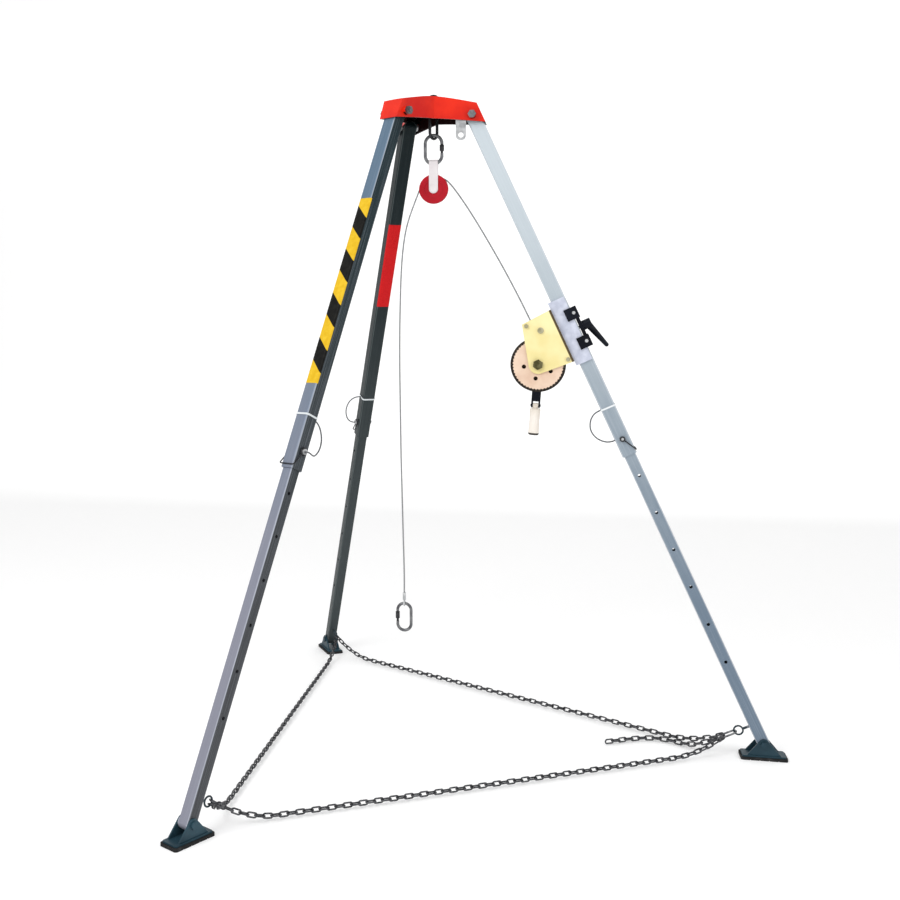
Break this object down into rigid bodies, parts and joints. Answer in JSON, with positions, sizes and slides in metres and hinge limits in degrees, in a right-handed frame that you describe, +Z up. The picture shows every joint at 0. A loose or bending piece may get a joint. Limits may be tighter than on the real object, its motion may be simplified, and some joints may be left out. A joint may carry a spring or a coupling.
{
  "type": "rescue tripod",
  "caption": "Rescue tripod with telescoping square legs on a folded head, a geared brake winch on one leg, a lifting line over a pulley to a hook, and a foot chain.",
  "frame": {"origin": "middle of the standing area's bounding box, on the floor", "axes": "+Z up; +X towards the leg that carries the winch; +Y to the left of it seen from above"},
  "size_m": [1.7452, 2.0126, 2.1637],
  "materials": {
    "red_paint": "satin paint",
    "leg_aluminium": "satin anodised",
    "zinc": "zinc plated",
    "dark_steel": "black oxide",
    "chain_steel": "galvanised",
    "foot_paint": "satin paint",
    "sole_rubber": "matte",
    "winch_paint": "yellow passivated",
    "bracket_metal": "satin",
    "black_paint": "satin paint",
    "cable_steel": "bright wire rope",
    "grip_plastic": "smooth",
    "sheave_plastic": "smooth",
    "strap_paint": "white paint",
    "lanyard_cord": "braided",
    "friction": "matte"
  },
  "bodies": {
    "head": {"head_cap": "red_paint", "leg_pivot_bolts": "zinc", "pivot_spacers": "zinc", "main_eye": "dark_steel", "main_eye_nut": "dark_steel", "spare_eye": "zinc", "chain_span_left_right": "chain_steel", "chain_span_back_right": "chain_steel", "chain_span_left_back": "chain_steel"},
    "upper_right": {"upper_leg_right": "leg_aluminium", "pin_lanyard_right": "lanyard_cord", "winch_bracket": "bracket_metal", "clamp_jaw": "black_paint", "winch_frame": "winch_paint", "frame_bolts": "zinc", "drum_axle": "zinc", "ratchet_wheel": "zinc", "cable_lift": "cable_steel"},
    "lower_right": {"lower_leg_right": "leg_aluminium", "chain_near_right": "chain_steel", "joining_link": "zinc", "chain_tail": "chain_steel"},
    "pin_right": {"lock_pin_right": "zinc", "pin_bail_right": "dark_steel"},
    "foot_right": {"foot_shoe_right": "foot_paint", "foot_sole_right": "sole_rubber"},
    "upper_back": {"upper_leg_back": "leg_aluminium", "pin_lanyard_back": "lanyard_cord"},
    "lower_back": {"lower_leg_back": "leg_aluminium", "chain_near_back": "chain_steel"},
    "pin_back": {"lock_pin_back": "zinc", "pin_bail_back": "dark_steel"},
    "foot_back": {"foot_shoe_back": "foot_paint", "foot_sole_back": "sole_rubber"},
    "upper_left": {"upper_leg_left": "leg_aluminium", "pin_lanyard_left": "lanyard_cord"},
    "lower_left": {"lower_leg_left": "leg_aluminium", "chain_near_left": "chain_steel"},
    "pin_left": {"lock_pin_left": "zinc", "pin_bail_left": "dark_steel"},
    "foot_left": {"foot_shoe_left": "foot_paint", "foot_sole_left": "sole_rubber"},
    "pulley": {"pulley_carabiner": "zinc", "pulley_cheeks": "strap_paint", "pulley_axle": "zinc", "cable_hanging": "cable_steel"},
    "carabiner_gate": {"carabiner_gate": "dark_steel"},
    "sheave": {"sheave": "sheave_plastic"},
    "hook": {"cable_ferrule": "zinc", "hook_carabiner": "zinc"},
    "hook_gate": {"hook_gate": "dark_steel"},
    "crank": {"pinion_shaft": "zinc", "brake_discs": "friction", "crank_arm": "black_paint"},
    "crank_grip": {"crank_grip": "grip_plastic"},
    "drum": {"drum": "zinc", "drum_gear": "winch_paint", "cable_winding": "cable_steel"},
    "pawl": {"pawl": "zinc"},
    "clamp_lever": {"clamp_lever": "black_paint"}
  },
  "joints": [
    {"name": "leg_fold_right", "type": "hinge", "parent": "head", "child": "upper_right", "pos_m": [-0.11418, 0, 2.08568], "axis": [0, 1, 0], "range_deg": [0, 24], "deforming": ["chain_span_left_right", "chain_span_back_right", "chain_tail", "chain_near_right"]},
    {"name": "leg_slide_right", "type": "slide", "parent": "upper_right", "child": "lower_right", "axis": [-0.4099, 0, 0.9121], "range_m": [0, 0.78]},
    {"name": "pin_pull_right", "type": "slide", "parent": "upper_right", "child": "pin_right", "axis": [0, 1, 0], "range_m": [0, 0.06], "deforming": ["pin_bail_right", "pin_lanyard_right"]},
    {"name": "foot_tilt_right", "type": "hinge", "parent": "lower_right", "child": "foot_right", "pos_m": [0.80159, 0, 0.048], "axis": [0, 1, 0], "range_deg": [-30, 30]},
    {"name": "leg_fold_back", "type": "hinge", "parent": "head", "child": "upper_back", "pos_m": [-0.35268, 0.1377, 2.08568], "axis": [-0.866, -0.5, 0], "range_deg": [0, 24], "deforming": ["chain_near_back"]},
    {"name": "leg_slide_back", "type": "slide", "parent": "upper_back", "child": "lower_back", "axis": [0.205, -0.355, 0.9121], "range_m": [0, 0.78]},
    {"name": "pin_pull_back", "type": "slide", "parent": "upper_back", "child": "pin_back", "axis": [-0.866, -0.5, 0], "range_m": [0, 0.06], "deforming": ["pin_bail_back", "pin_lanyard_back"]},
    {"name": "foot_tilt_back", "type": "hinge", "parent": "lower_back", "child": "foot_back", "pos_m": [-0.81057, 0.93078, 0.048], "axis": [-0.866, -0.5, 0], "range_deg": [-30, 30]},
    {"name": "leg_fold_left", "type": "hinge", "parent": "head", "child": "upper_left", "pos_m": [-0.35268, -0.1377, 2.08568], "axis": [0.866, -0.5, 0], "range_deg": [0, 24], "deforming": ["chain_span_left_back", "chain_near_left"]},
    {"name": "leg_slide_left", "type": "slide", "parent": "upper_left", "child": "lower_left", "axis": [0.205, 0.355, 0.9121], "range_m": [0, 0.78]},
    {"name": "pin_pull_left", "type": "slide", "parent": "upper_left", "child": "pin_left", "axis": [0.866, -0.5, 0], "range_m": [0, 0.06], "deforming": ["pin_bail_left", "pin_lanyard_left"]},
    {"name": "foot_tilt_left", "type": "hinge", "parent": "lower_left", "child": "foot_left", "pos_m": [-0.81057, -0.93078, 0.048], "axis": [0.866, -0.5, 0], "range_deg": [-30, 30]},
    {"name": "pulley_swing", "type": "hinge", "parent": "head", "child": "pulley", "pos_m": [-0.24718, 0, 2.01768], "axis": [0.5, 0.866, 0], "range_deg": [-20, 20], "deforming": ["cable_lift"]},
    {"name": "carabiner_gate_open", "type": "hinge", "parent": "pulley", "child": "carabiner_gate", "pos_m": [-0.21918, 0, 1.96508], "axis": [0, -1, 0], "range_deg": [0, 30], "stiffness_Nm_per_rad": 0.2, "springref_deg": -17.19},
    {"name": "sheave_spin", "type": "hinge", "parent": "pulley", "child": "sheave", "pos_m": [-0.24718, 0, 1.84868], "axis": [0, 1, 0], "range_deg": [0, 1364]},
    {"name": "hook_lift", "type": "slide", "parent": "pulley", "child": "hook", "axis": [0, 0, 1], "range_m": [0, 1.0472], "deforming": ["cable_hanging"]},
    {"name": "hook_gate_open", "type": "hinge", "parent": "hook", "child": "hook_gate", "pos_m": [-0.37618, 0, 0.3778], "axis": [0, 1, 0], "range_deg": [0, 30], "stiffness_Nm_per_rad": 0.2, "springref_deg": -17.19},
    {"name": "crank_turn", "type": "hinge", "parent": "upper_right", "child": "crank", "pos_m": [0.10647, 0, 1.37026], "axis": [0, -1, 0], "range_deg": [0, 4500]},
    {"name": "drum_turn", "type": "hinge", "parent": "upper_right", "child": "drum", "pos_m": [0.09769, 0, 1.2586], "axis": [0, 1, 0], "range_deg": [0, 1500]},
    {"name": "grip_fold", "type": "hinge", "parent": "crank", "child": "crank_grip", "pos_m": [0.0867, 0.0582, 1.11904], "axis": [0.9969, 0, -0.0785], "range_deg": [0, 90]},
    {"name": "pawl_lift", "type": "hinge", "parent": "upper_right", "child": "pawl", "pos_m": [0.08233, 0, 1.31665], "axis": [0, 1, 0], "range_deg": [0, 20], "stiffness_Nm_per_rad": 0.2, "springref_deg": -17.19},
    {"name": "lever_turn", "type": "hinge", "parent": "upper_right", "child": "clamp_lever", "pos_m": [0.2072, 0, 1.37058], "axis": [0.9121, 0, 0.4099], "range_deg": [-70, 70]}
  ],
  "couplings": [
    {"joint": "drum_turn", "follows": "crank_turn", "ratio": 0.33333},
    {"joint": "sheave_spin", "follows": "crank_turn", "ratio": 0.30303},
    {"joint": "hook_lift", "follows": "crank_turn", "m_per_rad": 0.013333}
  ]
}
